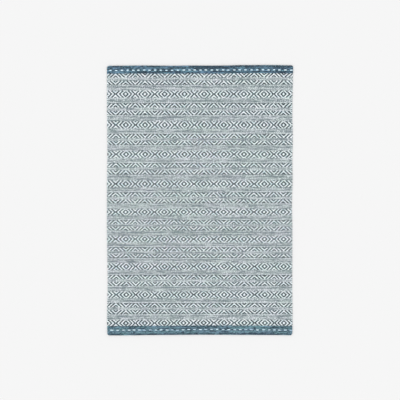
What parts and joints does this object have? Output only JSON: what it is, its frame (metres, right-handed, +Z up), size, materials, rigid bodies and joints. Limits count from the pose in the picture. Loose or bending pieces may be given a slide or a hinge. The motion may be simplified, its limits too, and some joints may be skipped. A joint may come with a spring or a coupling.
{
  "type": "flat-woven dhurrie rug",
  "caption": "Rectangular flat-woven wool rug with point-twill pattern bands across it and a turned, stitched hem band at each end.",
  "frame": {"origin": "middle of the rug's bounding box, on the floor", "axes": "+X across the rug along its weft, +Y along its warp towards the narrower hem, +Z up from the floor"},
  "size_m": [1.2062, 1.7504, 0.0076],
  "materials": {
    "heather_ground": "heathered pale grey-blue wool weft, matt",
    "white_weft": "off-white wool weft, matt",
    "slate_weft": "dark slate-blue wool weft, matt",
    "hem_blue": "mottled teal and navy wool web, matt",
    "hem_thread": "thick pale blue-white wool stitching yarn, matt"
  },
  "bodies": {
    "root": {"dhurrie_cloth": "heather_ground"}
  },
  "joints": []
}
